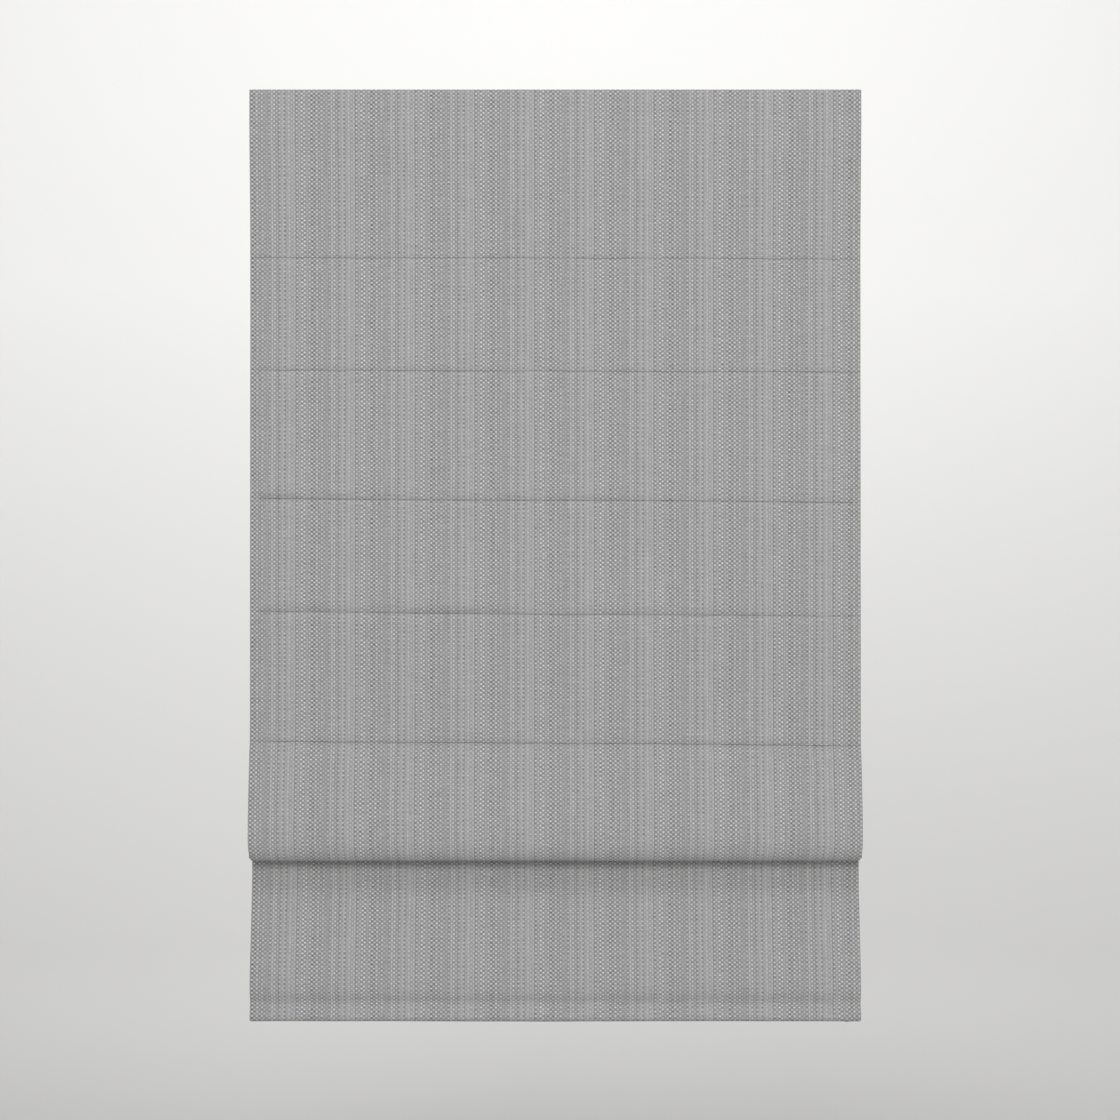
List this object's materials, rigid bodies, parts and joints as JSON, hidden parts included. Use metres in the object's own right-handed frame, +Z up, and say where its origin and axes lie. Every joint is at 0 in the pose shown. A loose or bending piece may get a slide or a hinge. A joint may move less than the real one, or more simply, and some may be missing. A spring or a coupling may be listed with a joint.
{
  "type": "roman blind",
  "caption": "Cordless roman blind: lined woven cloth on cross ribs, hung from a spring-driven headrail, its lowest fold drawn up above a weighted hem.",
  "frame": {"origin": "Middle of the rectangle of bracket screw holes, on the top face of the brackets, which meets the window head.", "axes": "+X runs along the headrail to the right as seen from the room, +Y points out through the window, +Z points up; the room is on the -Y side."},
  "size_m": [0.914, 0.0677, 1.395],
  "materials": {
    "face_cloth": "mid-grey plain weave with fine vertical ribs",
    "lining": "off-white cotton sateen",
    "lift_cord": "braided white cord",
    "white_plastic": "moulded white",
    "motor_plastic": "moulded dark grey",
    "clear_plastic": "milky moulded",
    "bracket": "zinc plated",
    "hook_tape": "stiff white touch tape",
    "loop_tape": "soft white touch tape",
    "rib_rod": "white glass-fibre rod",
    "headrail": "white powder coat on aluminium",
    "lift_shaft": "drawn",
    "weight_bar": "mill",
    "spring_ribbon": "blue-grey spring steel",
    "screw": "zinc plated"
  },
  "bodies": {
    "headrail_body": {"headrail": "headrail", "end_cap_left": "white_plastic", "end_cap_right": "white_plastic", "bracket_left": "bracket", "bracket_right": "bracket", "hook_tape": "hook_tape", "loop_tape": "loop_tape", "cord_cradle_1": "white_plastic", "cord_cradle_2": "white_plastic", "cord_cradle_3": "white_plastic", "motor_case": "motor_plastic", "motor_cover": "motor_plastic", "motor_screws": "screw", "spring_ribbon": "spring_ribbon", "cloth_panel_1": "face_cloth", "lining_panel_1": "lining", "lift_cord_1": "lift_cord", "lift_cord_2": "lift_cord", "lift_cord_3": "lift_cord"},
    "shaft_body": {"lift_shaft": "lift_shaft", "cord_spool_1": "white_plastic", "cord_spool_2": "white_plastic", "cord_spool_3": "white_plastic", "output_drum": "motor_plastic"},
    "storage_body": {"storage_drum": "motor_plastic"},
    "rib_1_body": {"rib_1": "rib_rod", "cord_guides_1": "clear_plastic", "cloth_panel_2": "face_cloth", "lining_panel_2": "lining"},
    "front_rib_1_body": {"front_rib_1": "rib_rod", "cloth_panel_3": "face_cloth", "lining_panel_3": "lining"},
    "rib_2_body": {"rib_2": "rib_rod", "cord_guides_2": "clear_plastic", "cloth_panel_4": "face_cloth", "lining_panel_4": "lining"},
    "front_rib_2_body": {"front_rib_2": "rib_rod", "cloth_panel_5": "face_cloth", "lining_panel_5": "lining"},
    "rib_3_body": {"rib_3": "rib_rod", "cord_guides_3": "clear_plastic", "cloth_panel_6": "face_cloth", "lining_panel_6": "lining"},
    "front_rib_3_body": {"front_rib_3": "rib_rod", "cloth_panel_7": "face_cloth", "lining_panel_7": "lining"},
    "rib_4_body": {"rib_4": "rib_rod", "cord_guides_4": "clear_plastic", "cloth_panel_8": "face_cloth", "lining_panel_8": "lining", "front_rib_4": "rib_rod", "weight_bar": "weight_bar", "weight_bar_cap_left": "clear_plastic", "weight_bar_cap_right": "clear_plastic", "cord_adjuster_1": "clear_plastic", "cord_adjuster_2": "clear_plastic", "cord_adjuster_3": "clear_plastic"}
  },
  "joints": [
    {"name": "lift", "type": "slide", "parent": "headrail_body", "child": "rib_1_body", "axis": [0, 0.008, 1], "range_m": [0, 0.20451], "deforming": ["cloth_panel_1", "lining_panel_1", "lift_cord_1", "lift_cord_2", "lift_cord_3"]},
    {"name": "fold_1_front", "type": "slide", "parent": "rib_1_body", "child": "front_rib_1_body", "axis": [0, -0.9897, 0.1429], "range_m": [-0.0005, 0.04635], "deforming": ["cloth_panel_2", "lining_panel_2"]},
    {"name": "fold_1_back", "type": "slide", "parent": "front_rib_1_body", "child": "rib_2_body", "axis": [0, 0.1395, 0.9902], "range_m": [-0.0005, 0.34582], "deforming": ["cloth_panel_3", "lining_panel_3"]},
    {"name": "fold_2_front", "type": "slide", "parent": "rib_2_body", "child": "front_rib_2_body", "axis": [0, -0.9943, 0.1065], "range_m": [-0.0005, 0.03395], "deforming": ["cloth_panel_4", "lining_panel_4"]},
    {"name": "fold_2_back", "type": "slide", "parent": "front_rib_2_body", "child": "rib_3_body", "axis": [0, 0.1039, 0.9946], "range_m": [-0.0005, 0.34732], "deforming": ["cloth_panel_5", "lining_panel_5"]},
    {"name": "lowest_crease", "type": "slide", "parent": "rib_3_body", "child": "front_rib_3_body", "axis": [0, -0.899, 0.438], "range_m": [-0.02402, 0.0005], "deforming": ["cloth_panel_6", "lining_panel_6"]},
    {"name": "lowest_fold", "type": "slide", "parent": "front_rib_3_body", "child": "rib_4_body", "axis": [0, 0.0706, 0.9975], "range_m": [-0.33904, 0], "deforming": ["cloth_panel_7", "lining_panel_7"]},
    {"name": "shaft_turn", "type": "hinge", "parent": "headrail_body", "child": "shaft_body", "pos_m": [0, -0.0101, -0.0175], "axis": [1, 0, 0], "range_deg": [-5, 6891.95]},
    {"name": "storage_turn", "type": "hinge", "parent": "headrail_body", "child": "storage_body", "pos_m": [0, 0.0101, -0.0175], "axis": [1, 0, 0], "range_deg": [-5170.22, 5], "deforming": ["spring_ribbon"]}
  ],
  "couplings": [
    {"joint": "fold_1_front", "follows": "lift", "ratio": 0.2242},
    {"joint": "fold_1_back", "follows": "lift", "ratio": 1.6886},
    {"joint": "fold_2_front", "follows": "lift", "ratio": 0.16357},
    {"joint": "fold_2_back", "follows": "lift", "ratio": 1.6959},
    {"joint": "lowest_crease", "follows": "lowest_fold", "ratio": 0.069359},
    {"joint": "shaft_turn", "follows": "lift", "rad_per_m": 587.75},
    {"joint": "storage_turn", "follows": "lift", "rad_per_m": -440.82}
  ]
}
